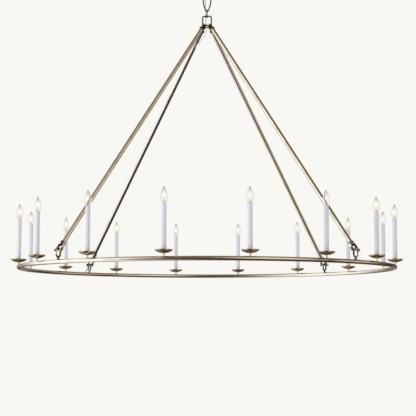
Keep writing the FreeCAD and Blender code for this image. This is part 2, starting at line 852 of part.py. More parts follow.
# Eye that stands on the ring, drawn from the middle of the eye, with a foot hollowed to the tube
ring_eye = new_body("RingEye")
revolve(
    ring_eye,
    "ring_eye_flange",
    [
        ("0", "ring_eye_flange_bottom - ring_eye_height"),
        ("ring_eye_flange_radius", "ring_eye_flange_bottom - ring_eye_height"),
        ("ring_eye_flange_radius", "ring_eye_flange_top - ring_eye_height"),
        ("0", "ring_eye_flange_top - ring_eye_height"),
    ],
)
saddle = new_sketch(ring_eye, "ring_eye_saddle_profile", "XZ_Plane")
draw_circle(saddle, "0", "-ring_eye_height", "ring_tube_radius")
axis_start = vector(-ring_radius, 0, 0)
axis_end = vector(-ring_radius, ring_radius, 0)
axis_line = saddle.addGeometry(Part.LineSegment(axis_start, axis_end), True)
for point in (1, 2):
    tie(saddle, axis_line, point, "DistanceX", "-ring_radius")
tie(saddle, axis_line, 1, "DistanceY", "0")
tie(saddle, axis_line, 2, "DistanceY", "ring_radius")
document.recompute()
groove = ring_eye.newObject("PartDesign::Groove", "ring_eye_saddle")
groove.Profile = saddle
groove.ReferenceAxis = (saddle, ["Axis0"])
groove.Angle = 360.0
ring_eye.Tip = groove
revolve(
    ring_eye,
    "ring_eye_stem",
    [
        ("0", "ring_eye_stud_bottom - ring_eye_height"),
        ("ring_eye_stem_radius", "ring_eye_stud_bottom - ring_eye_height"),
        ("ring_eye_stem_radius", "-ring_eye_length / 2"),
        ("0", "-ring_eye_length / 2"),
    ],
)
bend_wire(
    ring_eye,
    "ring_eye_loop",
    [
        ("ring_eye_half_width", "0"),
        ("ring_eye_half_width", "ring_eye_length / 2 - ring_eye_half_width", "ring_eye_half_width", 1),
        ("-ring_eye_half_width", "ring_eye_length / 2 - ring_eye_half_width"),
        ("-ring_eye_half_width", "ring_eye_half_width - ring_eye_length / 2", "ring_eye_half_width", 1),
        ("ring_eye_half_width", "ring_eye_half_width - ring_eye_length / 2"),
    ],
    "ring_eye_wire_radius",
    "XZ_Plane",
    closed=True,
)
copies("ring_eyes", ring_eye, along(eye_places, z="ring_eye_height"))

# Ring tube with a hole for each candle neck, each eye and the lead
ring = new_body("Ring")
outline = new_sketch(ring, "ring_section", "XZ_Plane")
draw_circle(outline, "ring_radius", "0", "ring_tube_radius")
draw_circle(outline, "ring_radius", "0", "ring_tube_radius - ring_tube_wall")
tube = ring.newObject("PartDesign::Revolution", "ring_sweep")
tube.Profile = outline
tube.ReferenceAxis = (origin_feature(ring, "Z_Axis"), [""])
tube.Angle = 360.0
ring.Tip = tube
document.recompute()


def ring_hole(name, angle, radius, count):
    """Bores a hole through the top of the tube and repeats it round the ring."""
    sketch = new_sketch(ring, name + "_outline", "XY_Plane")
    draw_circle(sketch, "ring_radius * cos(%s)" % angle, "ring_radius * sin(%s)" % angle, radius)
    document.recompute()
    hole = pocket(ring, sketch, name, "ring_tube_diameter", reverse=True)
    document.recompute()
    if count is None:
        return
    pattern = ring.newObject("PartDesign::PolarPattern", name + "_pattern")
    pattern.Originals = [hole]
    pattern.Axis = (origin_feature(ring, "Z_Axis"), [""])
    pattern.Angle = 360.0
    pattern.setExpression("Occurrences", bound(count))
    ring.Tip = pattern
    document.recompute()


ring_hole("neck_hole", "180deg / candle_count", "neck_radius", "candle_count")
ring_hole("eye_hole", "180deg / rod_count", "ring_eye_stem_radius", "rod_count")
lead_angle = "540deg / rod_count + 180deg * lead_side / ring_radius / pi"
ring_hole("lead_hole", lead_angle, "lead_hole_radius", None)
place(ring, z="-ring_drop")
node("ring_tube", ring)

# One candle: neck, drip pan, lamp holder, sleeve and bulb, drawn from the middle of the ring tube
neck = new_body("CandleNeck")
revolve(
    neck,
    "neck_turning",
    [
        ("neck_bore_radius", "neck_bottom"),
        ("neck_radius", "neck_bottom"),
        ("neck_radius", "pan_bottom - neck_flange_height"),
        ("pan_boss_radius", "pan_bottom - neck_flange_height"),
        ("pan_boss_radius", "pan_bottom"),
        ("nipple_radius", "pan_bottom"),
        ("nipple_radius", "nipple_top"),
        ("neck_bore_radius", "nipple_top"),
    ],
)
copies("candle_necks", neck, candle_places)

pan = new_body("DripPan")
revolve(
    pan,
    "pan_shell",
    [
        ("nipple_radius", "pan_bottom"),
        ("pan_boss_radius", "pan_bottom", "pan_curve", 1),
        ("pan_radius", "pan_rim - pan_rim_height"),
        ("pan_radius", "pan_rim"),
        ("pan_radius - pan_lip / 2", "pan_rim + pan_lip / 2"),
        ("pan_radius - pan_lip", "pan_rim"),
        ("pan_radius - pan_lip", "pan_rim - pan_rim_height + pan_lip", "pan_curve", -1),
        ("pan_floor_radius", "pan_floor"),
        ("nipple_radius", "pan_floor"),
    ],
)
copies("drip_pans", pan, candle_places)

holder = new_body("LampHolder")
revolve(
    holder,
    "holder_turning",
    [
        ("nipple_radius", "pan_floor"),
        ("holder_base_radius", "pan_floor"),
        ("holder_base_radius", "pan_floor + holder_base_height"),
        ("holder_stem_radius", "pan_floor + holder_base_height"),
        ("holder_stem_radius", "holder_cup_bottom"),
        ("holder_cup_radius", "holder_cup_bottom"),
        ("holder_cup_radius", "holder_cup_top"),
        ("holder_bore_radius", "holder_cup_top"),
        ("holder_bore_radius", "holder_bore_bottom"),
        ("0", "holder_bore_bottom"),
        ("0", "holder_bore_bottom - holder_floor"),
        ("neck_bore_radius", "holder_bore_bottom - holder_floor"),
        ("neck_bore_radius", "nipple_top"),
        ("nipple_radius", "nipple_top"),
    ],
)
copies("lamp_holders", holder, candle_places)

sleeve = new_body("CandleSleeve")
revolve(
    sleeve,
    "sleeve_tube",
    [
        ("sleeve_radius - sleeve_wall", "pan_floor"),
        ("sleeve_radius", "pan_floor"),
        ("sleeve_radius", "sleeve_top - sleeve_wall / 2"),
        ("sleeve_radius - sleeve_wall / 2", "sleeve_top"),
        ("sleeve_radius - sleeve_wall", "sleeve_top"),
    ],
)
copies("candle_sleeves", sleeve, candle_places)

for number, placement in enumerate(candle_places, start=1):
    name = "bulb_%02d" % number
    bulb = new_body(name + "_body")
    revolve(
        bulb,
        name + "_turning",
        [
            ("0", "holder_bore_bottom"),
            ("bulb_contact_radius", "holder_bore_bottom"),
            ("bulb_contact_radius", "holder_bore_bottom + bulb_contact_height"),
            ("bulb_base_radius", "holder_bore_bottom + bulb_contact_height"),
            ("bulb_base_radius", "bulb_base_top"),
            ("bulb_neck_radius", "bulb_neck_height", "bulb_lower_curve", 1),
            ("bulb_radius", "bulb_belly_height", "bulb_upper_curve", 1),
            ("bulb_tip_radius", "bulb_tip_height"),
            ("0", "bulb_tip_height"),
            ("0", "bulb_tip_height - bulb_wall"),
            ("bulb_tip_bore", "bulb_tip_height - bulb_wall", "bulb_upper_bore", -1),
            ("bulb_belly", "bulb_belly_height", "bulb_lower_bore", -1),
            ("bulb_neck_radius - bulb_wall", "bulb_neck_height + bulb_wall"),
            ("0", "bulb_neck_height + bulb_wall"),
        ],
    )
    bulb.Placement = placement
    node(name, bulb)


# Supply cord and ring lead, round tubes on straight runs joined by tangent bends
BEND_SHARE = 0.45


def tube_route(points, radius, label):
    """A round tube through points. Each bend takes a set share of its shorter run and prints its radius."""
    edges = []
    start = points[0]
    for before, corner, after in zip(points, points[1:], points[2:]):
        arriving = (corner - before).normalize()
        leaving = (after - corner).normalize()
        turn = arriving.getAngle(leaving)
        reach = BEND_SHARE * min((corner - before).Length, (after - corner).Length)
        bend = reach / math.tan(turn / 2)
        print("%s bend radius %.1f mm, turn %.1f degrees" % (label, bend, math.degrees(turn)))
        first = corner - arriving * reach
        last = corner + leaving * reach
        inward = (leaving - arriving).normalize()
        middle = corner + inward * (bend / math.cos(turn / 2) - bend)
        edges.append(Part.makeLine(start, first))
        edges.append(Part.Arc(first, middle, last).toShape())
        start = last
    edges.append(Part.makeLine(start, points[-1]))
    route = Part.Wire(edges)
    heading = (points[1] - points[0]).normalize()
    section = Part.Wire([Part.makeCircle(radius, points[0], heading)])
    shape = route.makePipeShell([section], True, True)
    print("%s length %.1f mm, volume over section %.1f mm" % (
        label, route.Length, shape.Volume / (math.pi * radius ** 2)
    ))
    piece = document.addObject("Part::Feature", label + "_tube")
    piece.Shape = shape
    node(label, piece)


wired_rod = rod_places[1]
wired_eye = eye_places[1]


def beside_axis(offset, drop):
    """A point off the vertical axis toward the wired rod, at expressions in the sheet's names."""
    return vector(-size(offset), size(offset), -size(drop))


def from_spot(spot, x, y, z):
    """A point at expressions in the sheet's names, measured from a rod's pin or an eye's foot."""
    return spot.multVec(vector(size(x), size(y), size(z)))


def on_run(first, last, drop):
    """The point where a straight run from first to last passes a drop."""
    share = (first.z + size(drop)) / (first.z - last.z)
    return first + (last - first) * share


# The cord is cut on two straight runs, so the cut faces lie flat on each other.
upper_bow = beside_axis("cord_upper_bow", "cord_upper_bow_drop")
middle_bow = beside_axis("cord_middle_bow", "cord_middle_bow_drop")
stirrup_pass = beside_axis("cord_stirrup_offset", "stirrup_ring_drop - cord_stirrup_rise")
upper_end = on_run(upper_bow, middle_bow, "link_top_drop + link_length / 2")
lower_end = on_run(middle_bow, stirrup_pass, "(joiner_top_drop + joiner_bottom_drop) / 2")
cord_radius = size("cord_radius")
tube_route(
    [
        beside_axis("0", "cord_top_drop"),
        beside_axis("cord_stem_offset", "cord_stem_drop"),
        beside_axis("0", "cord_barrel_drop"),
        beside_axis("cord_offset", "cord_loop_drop"),
        upper_bow,
        upper_end,
    ],
    cord_radius,
    "supply_cord_upper",
)
tube_route([upper_end, middle_bow, lower_end], cord_radius, "supply_cord_middle")
tube_route(
    [
        lower_end,
        stirrup_pass,
        beside_axis("cord_dip_offset", "stirrup_ring_drop + cord_dip"),
        beside_axis("cord_slack_offset", "stirrup_ring_drop + cord_slack"),
        from_spot(wired_rod, "0", "0", "rod_span - cord_join"),
        from_spot(wired_rod, "0", "0", "rod_span - cord_join - cord_tail"),
    ],
    cord_radius,
    "supply_cord_lower",
)
tube_route(
    [
        from_spot(wired_rod, "0", "0", "lead_start"),
        from_spot(wired_rod, "0", "0", "lead_leave"),
        from_spot(wired_rod, "-lead_bow_depth", "lead_bow_side", "lead_bow_height"),
        from_spot(wired_eye, "-lead_foot_depth", "lead_foot_side", "lead_foot_height"),
        from_spot(wired_eye, "0", "lead_side", "lead_drop_height"),
        from_spot(wired_eye, "0", "lead_side", "lead_end_height"),
    ],
    size("lead_radius"),
    "ring_lead",
)

# Check and write every sub-part
document.recompute()
failed = [thing.Name for thing in document.Objects if {"Invalid", "Error"} & set(thing.State)]
if failed:
    raise RuntimeError("these did not compute: " + ", ".join(failed))
os.makedirs("parts", exist_ok=True)
for label, thing in NODES.items():
    shape = thing.Shape
    if shape.isNull() or not shape.isValid():
        raise RuntimeError("%s has no valid shape" % label)
    shape.exportStep("parts/%s.step" % label)
    print("%-20s solids %2d volume %10.0f" % (label, len(shape.Solids), shape.Volume))
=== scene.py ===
# %% [markdown]
# # A ring chandelier, dressed in Blender
# The chandelier is a large tube bent into a ring, with candle lights standing on it.
# Four rods carry the ring from a small stirrup, and two chain links carry the stirrup.
# Its solids come from CAD and stay where they are. This lesson gives them their finishes, and makes
# the pieces that CAD leaves plain: the bulbs, the supply cord and the thin lead.

# %% Load the solids
import bpy
import math
from mathutils import Matrix, Vector


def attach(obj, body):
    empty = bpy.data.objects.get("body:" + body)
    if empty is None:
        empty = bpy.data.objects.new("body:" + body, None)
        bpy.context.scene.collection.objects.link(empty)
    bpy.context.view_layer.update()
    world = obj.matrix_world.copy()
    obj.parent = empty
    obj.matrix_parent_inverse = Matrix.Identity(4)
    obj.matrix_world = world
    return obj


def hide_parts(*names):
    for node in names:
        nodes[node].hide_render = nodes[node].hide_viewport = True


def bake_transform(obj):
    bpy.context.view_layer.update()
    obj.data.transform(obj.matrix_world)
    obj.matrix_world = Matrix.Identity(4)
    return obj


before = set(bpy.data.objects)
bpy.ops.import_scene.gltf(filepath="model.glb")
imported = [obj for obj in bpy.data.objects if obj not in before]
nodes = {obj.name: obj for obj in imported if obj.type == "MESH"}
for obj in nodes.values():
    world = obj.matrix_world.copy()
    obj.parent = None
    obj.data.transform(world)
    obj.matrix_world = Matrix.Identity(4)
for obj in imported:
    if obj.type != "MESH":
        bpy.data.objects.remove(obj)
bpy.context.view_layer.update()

# %% [markdown]
# ## The camera
# The photograph looks up at the ring from a little below it, through a long lens.
# A shifted lens could frame it too, but a small upward tilt is simpler and comes close to the same ellipse.
# The lens, the distance and the tilt were fitted to the ring's outline and the rods, and then moved by a
# hair after the render was compared with the photograph.

# %% Place the camera
RING_HEIGHT = -1.4865
IMAGE_SIDE = 416
FOCAL_PIXELS = 1116.5
SENSOR = 36.0
CAMERA_DISTANCE = 5.440
CAMERA_DROP = 0.2570
CAMERA_TILT = 5.812
CAMERA_YAW = -0.051

camera_data = bpy.data.cameras.new("camera")
camera_data.sensor_width = SENSOR
camera_data.lens = FOCAL_PIXELS * SENSOR / IMAGE_SIDE
camera = bpy.data.objects.new("camera", camera_data)
camera.location = (0.0, -CAMERA_DISTANCE, RING_HEIGHT - CAMERA_DROP)
camera.rotation_euler = (math.radians(90 + CAMERA_TILT), 0.0, math.radians(CAMERA_YAW))
bpy.context.scene.collection.objects.link(camera)
bpy.context.scene.camera = camera
bpy.context.scene.view_settings.view_transform = "Standard"
print("lens", round(camera_data.lens, 1), "mm")

# %% [markdown]
# ## Sums for shaders
# A finish is a small sum: so much patina here, so much grime there. Adding every Math node by hand
# hides the sum. So one class holds a socket and turns plus, minus and times into Math nodes, and a
# second class adds any other node from its type, its settings and its sockets.


# %% Sockets that can be added and multiplied
class Wire:
    """An output socket that Python sums can use."""

    def __init__(self, bench, socket):
        self.bench = bench
        self.socket = socket

    def out(self, name):
        return Wire(self.bench, self.socket.node.outputs[name])

    def sum(self, operation, first, second):
        return self.bench.node("ShaderNodeMath", {"operation": operation}, {0: first, 1: second})

    def __add__(self, other):
        return self.sum("ADD", self, other)

    def __sub__(self, other):
        return self.sum("SUBTRACT", self, other)

    def __rsub__(self, other):
        return self.sum("SUBTRACT", other, self)

    def __mul__(self, other):
        return self.sum("MULTIPLY", self, other)

    __radd__ = __add__
    __rmul__ = __mul__


class Bench:
    """A node tree with one method that adds any node, and short names for the usual ones."""

    def __init__(self, tree):
        self.tree = tree

    def node(self, kind, settings=None, sockets=None, result=0):
        made = self.tree.nodes.new(kind)
        for name, value in (settings or {}).items():
            if name == "stops":
                self.set_stops(made.color_ramp, value)
            else:
                setattr(made, name, value)
        by_identifier = {socket.identifier: socket for socket in made.inputs}
        for name, value in (sockets or {}).items():
            socket = by_identifier.get(name) or made.inputs[name]
            if isinstance(value, Wire):
                self.tree.links.new(value.socket, socket)
            else:
                socket.default_value = value
        found = {socket.identifier: socket for socket in made.outputs}
        return Wire(self, found.get(result) or made.outputs[result])

    def set_stops(self, ramp, stops):
        while len(ramp.elements) < len(stops):
            ramp.elements.new(1.0)
        for element, (place, shade) in zip(ramp.elements, stops):
            element.position = place
            element.color = (shade, shade, shade, 1) if isinstance(shade, float) else shade

    def where(self, space="Object"):
        return self.node("ShaderNodeTexCoord", None, None, space)

    def drawn_out(self, where, squeeze):
        """The same place with its height squeezed, so that a pattern there runs upright."""
        return self.node("ShaderNodeMapping", None, {"Vector": where, "Scale": (1.0, 1.0, squeeze)})

    def blend(self, factor, first, second):
        sockets = {"Factor_Float": factor, "A_Color": first, "B_Color": second}
        return self.node("ShaderNodeMix", {"data_type": "RGBA"}, sockets, "Result_Color")

    def noise(self, where, scale, detail=4.0, rough=0.55):
        sockets = {"Vector": where, "Scale": scale, "Detail": detail, "Roughness": rough}
        return self.node("ShaderNodeTexNoise", None, sockets)

    def steps(self, value, stops):
        return self.node("ShaderNodeValToRGB", {"stops": stops}, {"Fac": value})

    def fade(self, value, start, end):
        """Nothing below the start, all above the end."""
        return self.steps(value, [(start, 0.0), (end, 1.0)])

    def show(self, kind, shader):
        """Joins a finished shader to the tree's output."""
        output = self.tree.nodes.new(kind)
        self.tree.links.new(shader.socket, output.inputs["Surface"])

    def bump(self, height, strength, distance):
        sockets = {"Height": height, "Strength": strength, "Distance": distance}
        return self.node("ShaderNodeBump", None, sockets)


def new_finish(name, constants):
    """A material with one shader, whose steady values are set on its own sockets."""
    material = bpy.data.materials.new(name)
    material.use_nodes = True
    shader = material.node_tree.nodes["Principled BSDF"]
    for socket, value in constants.items():
        shader.inputs[socket].default_value = value
    return material, Bench(material.node_tree), shader


def feed(bench, shader, sockets):
    for name, wire in sockets.items():
        bench.tree.links.new(wire.socket, shader.inputs[name])


def tone(red, green, blue):
    """A colour from its screen values, 0 to 255, as the light that a shader works in."""
    return tuple(((value / 255 + 0.055) / 1.055) ** 2.4 for value in (red, green, blue)) + (1.0,)


print("shader helpers ready")

# %% [markdown]
# ## Burnished brass
# The ring, rods and pans are pale burnished metal with a brown patina left in patches, and with grime and
# painted shade in the corners.
# One flat metal colour would look like plastic, because the eye reads age from uneven gloss.
# So clouds of noise at two sizes mix pale metal with brown and raise the roughness there, a third and finer
# one adds to the relief, and a little occlusion darkens the joints: painted shade, with grime where a
# polishing cloth never reaches.

# %% Make the metal finishes
MOTTLE_SCALE = 120.0
SPECK_SCALE = 900.0
# How strongly the painted corner shade and grime darken the colour.
CORNER_SHADE_AND_GRIME = 0.85
RELIEF_DEPTH = 0.0002


def burnished(name, pale, worn, shade_and_grime, gloss, patches, soft=0.12, corner_reach=0.006, patch_scale=14.0,
              bare_level=0.52):
    """Metal with patina. Gloss is its roughness where bare, patches how much patina it keeps, soft how
    slowly a patch fades, and corner_reach how far from a corner the painted shade and grime come, in metres.
    A larger patch_scale makes smaller patches, and a larger bare_level leaves more metal bare."""
    material, bench, shader = new_finish(name, {"Metallic": 1.0})
    where = bench.where()
    clouds = bench.noise(where, patch_scale, 6.0, 0.6)
    mottle = bench.noise(where, MOTTLE_SCALE, 5.0, 0.6)
    specks = bench.noise(where, SPECK_SCALE, 2.0, 0.5)
    patina = bench.fade(clouds * 0.7 + mottle * 0.3, bare_level - soft, bare_level + soft)
    # Occlusion finds corners and joints; the darkening taken from it is painted shade, with some grime.
    corner = bench.node("ShaderNodeAmbientOcclusion", {"samples": 6}, {"Distance": corner_reach}, "AO")
    corner_shade_and_grime = bench.steps(corner, [(0.25, 1.0), (0.75, 0.0)])
    metal = bench.blend(patina * patches, pale, worn)
    # Corners take the dark corner tone: painted shade, and grime.
    colour = bench.blend(corner_shade_and_grime * CORNER_SHADE_AND_GRIME, metal, shade_and_grime)
    rough = gloss + patina * 0.14 + mottle * 0.05 + corner_shade_and_grime * 0.2
    relief = bench.bump(mottle * 0.7 + specks * 0.3, 0.05, RELIEF_DEPTH)
    feed(bench, shader, {"Base Color": colour, "Roughness": rough, "Normal": relief})
    return material


# Each finish's dark corner tone is painted into its corners as shade and grime.
old_brass = burnished(
    "old_brass",
    pale=tone(240, 237, 228),
    worn=tone(210, 201, 184),
    shade_and_grime=tone(70, 54, 34),
    gloss=0.15,
    patches=0.6,
)
rod_brass = burnished(
    "rod_brass",
    pale=tone(236, 231, 222),
    worn=tone(196, 186, 169),
    shade_and_grime=tone(60, 46, 30),
    gloss=0.13,
    patches=0.6,
)
pan_brass = burnished(
    "pan_brass",
    pale=tone(196, 180, 140),
    worn=tone(134, 114, 74),
    shade_and_grime=tone(44, 33, 18),
    gloss=0.2,
    patches=0.7,
)
fitting_brass = burnished(
    "fitting_brass",
    pale=tone(240, 235, 224),
    worn=tone(40, 32, 21),
    shade_and_grime=tone(10, 8, 5),
    gloss=0.06,
    patches=0.96,
    soft=0.03,
    corner_reach=0.016,
    patch_scale=46.0,
    bare_level=0.48,
)
dark_bronze = burnished(
    "dark_bronze",
    pale=tone(92, 79, 58),
    worn=tone(50, 40, 27),
    shade_and_grime=tone(16, 12, 8),
    gloss=0.2,
    patches=0.9,
)
print("metals:", old_brass.name, rod_brass.name, pan_brass.name, fitting_brass.name, dark_bronze.name)

# %% [markdown]
# ## Plated steel, white sleeve and moulded holder
# The strap and stem hide under the canopy. They are zinc plated, which sets in small crystals, so cells
# tint them.
# The candle sleeves are satin white tubes. A perfectly even white looks unreal, so faint streaks
# run along them. The lamp holder inside is dark moulded plastic with a fine grain.

# %% Make the steel and plastic finishes
CRYSTAL_SCALE = 260.0
SCRATCH_SCALE = 1400.0
STREAK_SCALE = 160.0
STREAK_SQUEEZE = 0.06
STAIN_SCALE = 22.0
GRAIN_SCALE = 1600.0


def plated_steel_finish():
    material, bench, shader = new_finish("plated_steel", {"Metallic": 1.0})
    where = bench.where()
    crystal = bench.node("ShaderNodeTexVoronoi", None, {"Vector": where, "Scale": CRYSTAL_SCALE}, "Color")
    shade = bench.node("ShaderNodeSeparateColor", None, {"Color": crystal}, "Red")
    colour = bench.blend(shade, tone(176, 178, 180), tone(208, 208, 202))
    scratches = bench.noise(where, SCRATCH_SCALE, 3.0)
    feed(bench, shader, {"Base Color": colour, "Roughness": 0.28 + shade * 0.12 + scratches * 0.06})
    return material


def sleeve_finish():
    material, bench, shader = new_finish("sleeve_white", {"Specular IOR Level": 0.45})
    where = bench.where()
    streaks = bench.noise(bench.drawn_out(where, STREAK_SQUEEZE), STREAK_SCALE, 2.0, 0.5)
    stain = bench.noise(where, STAIN_SCALE, 3.0)
    colour = bench.blend(stain * 0.5 + streaks * 0.3, tone(232, 233, 238), tone(228, 229, 234))
    feed(bench, shader, {"Base Color": colour, "Roughness": 0.44 + stain * 0.1})
    return material


def holder_finish():
    material, bench, shader = new_finish("holder_black", {"Specular IOR Level": 0.4})
    grain = bench.noise(bench.where(), GRAIN_SCALE, 3.0)
    colour = bench.blend(grain, tone(30, 29, 28), tone(52, 50, 48))
    relief = bench.bump(grain, 0.2, RELIEF_DEPTH)
    feed(bench, shader, {"Base Color": colour, "Roughness": 0.5 + grain * 0.2, "Normal": relief})
    return material


plated_steel = plated_steel_finish()
sleeve_white = sleeve_finish()
holder_black = holder_finish()
print("plain finishes:", plated_steel.name, sleeve_white.name, holder_black.name)

# %% [markdown]
# ## Which solid wears which finish
# Painting each face by hand would allow wear in chosen places, but every solid here is of one metal or
# one plastic. So a whole solid takes one finish, and the noise in the finish varies it from place to place.


# %% Dress the solids
def dress(names, finish):
    for name in names:
        nodes[name].data.materials.clear()
        nodes[name].data.materials.append(finish)


dress(["ring_tube", "candle_necks", "canopy", "loop_collar", "canopy_loop"], old_brass)
dress(["rod_far_right", "rod_far_left", "rod_near_left", "rod_near_right"], rod_brass)
dress(["drip_pans"], pan_brass)
dress(["rod_collars", "rod_yokes", "yoke_pins", "pin_nuts", "ring_eyes"], fitting_brass)
dress(["long_link", "connecting_link", "hanging_stirrup", "rod_top_eyes"], dark_bronze)
dress(["mounting_strap", "threaded_stem", "stem_nut"], plated_steel)
dress(["candle_sleeves"], sleeve_white)
dress(["lamp_holders"], holder_black)
print("solids dressed")

# %% [markdown]
# ## Meshes from points
# Most pieces made here are either turned, like a bulb, or drawn, like a cord. Both are rows of rings
# joined by faces.
# Blender's own screw tool and bevelled curves could make them, but then each piece would carry a modifier
# or a curve. Plain rings of points keep the meshes small, and let the sixteen bulbs share theirs.


# %% Rings of points joined by faces
def join_rings(rings, closed_loop=False):
    """Points and faces for rings that have the same number of points."""
    count = len(rings[0])
    points = [point for ring in rings for point in ring]
    faces = []
    last = len(rings) if closed_loop else len(rings) - 1
    for row in range(last):
        base = row * count
        following = ((row + 1) % len(rings)) * count
        for side in range(count):
            beside = (side + 1) % count
            faces.append((base + side, base + beside, following + beside, following + side))
    return points, faces


def turned(profile, sides=32, closed_loop=False):
    """Rings about the upright axis from (radius, height) pairs."""
    rings = []
    for radius, height in profile:
        ring = []
        for side in range(sides):
            angle = 2 * math.pi * side / sides
            ring.append((radius * math.cos(angle), radius * math.sin(angle), height))
        rings.append(ring)
    return join_rings(rings, closed_loop)


def drawn(line, radius, sides=12):
    """Rings along a line of points, each square to the line, with capped ends."""
    line = [Vector(point) for point in line]
    rings = []
    ahead = (line[1] - line[0]).normalized()
    across = ahead.orthogonal().normalized()
    for number, point in enumerate(line):
        before = line[max(number - 1, 0)]
        after = line[min(number + 1, len(line) - 1)]
        ahead = (after - before).normalized()
        across = (across - ahead * across.dot(ahead)).normalized()
        over = ahead.cross(across)
        ring = []
        for side in range(sides):
            angle = 2 * math.pi * side / sides
            ring.append(point + (across * math.cos(angle) + over * math.sin(angle)) * radius)
        rings.append(ring)
    points, faces = join_rings(rings)
    faces.append(tuple(range(sides))[::-1])
    faces.append(tuple(range(len(points) - sides, len(points))))
    return points, faces


def new_mesh(name, points, faces, finish):
    mesh = bpy.data.meshes.new(name)
    mesh.from_pydata([tuple(point) for point in points], [], faces)
    mesh.polygons.foreach_set("use_smooth", [True] * len(mesh.polygons))
    mesh.materials.append(finish)
    mesh.update()
    return mesh


def new_piece(name, mesh, place=Matrix.Identity(4)):
    piece = bpy.data.objects.new(name, mesh)
    piece.matrix_world = place
    bpy.context.scene.collection.objects.link(piece)
    return piece


print("mesh helpers ready")

# %% [markdown]
# ## The supply cord
# A thin pale cord runs from the ceiling beside the chain, and slips into one hollow rod.
# A polyline would show its corners, so a NURBS spline takes the route's points as its control points.
# The cord crosses three swinging contacts. So it is cut where the CAD cuts it, and each stretch crosses
# one of them.

# %% Give the cord its sheath
MM = 0.001
CORD_RADIUS = 2.4 * MM
LEAD_RADIUS = 1.75 * MM
LINE_SCALE = 2600.0
LINE_SQUEEZE = 0.05
CLOUD_SCALE = 90.0


def sheath_finish(name, light, dark, gloss):
    """A smooth plastic sheath, a little cloudy, with fine upright lines."""
    material, bench, shader = new_finish(name, {"Coat Roughness": 0.15, "Coat Weight": 0.3})
    where = bench.where()
    lines = bench.noise(bench.drawn_out(where, LINE_SQUEEZE), LINE_SCALE, 3.0)
    cloud = bench.noise(where, CLOUD_SCALE, 3.0)
    colour = bench.blend(cloud * 0.6 + lines * 0.4, light, dark)
    relief = bench.bump(lines, 0.15, RELIEF_DEPTH)
    feed(bench, shader, {"Base Color": colour, "Roughness": gloss + cloud * 0.15, "Normal": relief})
    return material


cord_silver = sheath_finish("cord_silver", tone(247, 246, 250), tone(226, 223, 232), 0.22)
lead_brown = sheath_finish("lead_brown", tone(96, 74, 46), tone(62, 46, 26), 0.3)
print("sheaths:", cord_silver.name, lead_brown.name)


# %% Read points from a smooth route
def smooth_line(name, route):
    """The points of a NURBS spline that has the route as its control points."""
    curve = bpy.data.curves.new(name + "_route", "CURVE")
    curve.dimensions = "3D"
    curve.resolution_u = 16
    spline = curve.splines.new("NURBS")
    spline.points.add(len(route) - 1)
    for point, place in zip(spline.points, route):
        point.co = (*place, 1.0)
    spline.order_u = 3
    spline.use_endpoint_u = True
    holder = bpy.data.objects.new(name + "_route", curve)
    bpy.context.scene.collection.objects.link(holder)
    bpy.context.view_layer.update()
    graph = bpy.context.evaluated_depsgraph_get()
    mesh = bpy.data.meshes.new_from_object(holder.evaluated_get(graph))
    line = [vertex.co.copy() for vertex in mesh.vertices]
    bpy.data.objects.remove(holder)
    bpy.data.curves.remove(curve)
    bpy.data.meshes.remove(mesh)
    return line


def line_length(line):
    return sum((after - before).length for before, after in zip(line, line[1:]))


print("route helpers ready")

# %% Find points beside the chain and along the wired rod
# The wired rod in millimetres: its rise, its run outward, and its lower pin's drop below the ceiling.
ROD_RISE = 1156.0
ROD_RUN = 883.5
PIN_DROP = 1436.5
ROD_TURN = math.radians(135)
RING_RADIUS = 0.905
rod_span = math.hypot(ROD_RISE, ROD_RUN)
rod_lean = math.atan2(ROD_RUN, ROD_RISE)


def beside_axis(offset, drop):
    """A point beside the chain, toward the wired rod, in millimetres."""
    return Vector((-offset, offset, -drop)) * MM


def turned_out(reach, side, height):
    """A point in millimetres, so far from the axis and to the side, turned to stand under the wired rod."""
    x = reach * math.cos(ROD_TURN) - side * math.sin(ROD_TURN)
    y = reach * math.sin(ROD_TURN) + side * math.cos(ROD_TURN)
    return Vector((x, y, height)) * MM


def by_rod(out, side, along):
    """A point from the wired rod's lower pin, in millimetres: square out from it, sideways and up it."""
    reach = RING_RADIUS / MM + out * math.cos(rod_lean) - along * math.sin(rod_lean)
    height = -PIN_DROP + out * math.sin(rod_lean) + along * math.cos(rod_lean)
    return turned_out(reach, side, height)


def by_eye(out, side, height):
    """A point measured from the ring's tube under the wired rod, in millimetres."""
    return turned_out(RING_RADIUS / MM + out, side, RING_HEIGHT / MM + height)


print("rod span", round(rod_span, 1), "mm, lean", round(math.degrees(rod_lean), 2), "degrees")

# %% Draw the cord in three stretches, and the lead
UPPER_CUT = 138.5
LOWER_CUT = 216.5
CORD_SIDES = 16

upper_bow = beside_axis(8.4, 108.5)
middle_bow = beside_axis(8.5, 177.5)
stirrup_pass = beside_axis(5.6, 264.5)


def on_run(first, last, drop):
    """The point where a straight run from first to last passes a drop, in millimetres."""
    share = (first.z + drop * MM) / (first.z - last.z)
    return first.lerp(last, share)


upper_end = on_run(upper_bow, middle_bow, UPPER_CUT)
lower_end = on_run(middle_bow, stirrup_pass, LOWER_CUT)
upper_route = [
    beside_axis(0, 2.5),
    beside_axis(0.3, 29),
    beside_axis(0, 56),
    beside_axis(8, 78),
    upper_bow,
    upper_end,
]
middle_route = [upper_end, middle_bow, lower_end]
lower_route = [
    lower_end,
    stirrup_pass,
    beside_axis(2.8, 314.5),
    beside_axis(32.5, 351),
    by_rod(0, 0, rod_span - 120),
    by_rod(0, 0, rod_span - 165),
]
lead_route = [
    by_rod(0, 0, 130),
    by_rod(0, 0, 108),
    by_rod(-26, 2, 62),
    by_eye(-25, 18, 36),
    by_eye(0, 26, 18),
    by_eye(0, 26, 3),
]


def draw_cord(name, route, radius, finish):
    line = smooth_line(name, route)
    points, faces = drawn(line, radius, CORD_SIDES)
    piece = new_piece(name + "_sheath", new_mesh(name + "_sheath", points, faces, finish))
    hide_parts(name)
    print(name, "length", round(line_length(line) / MM, 1), "mm")
    return piece


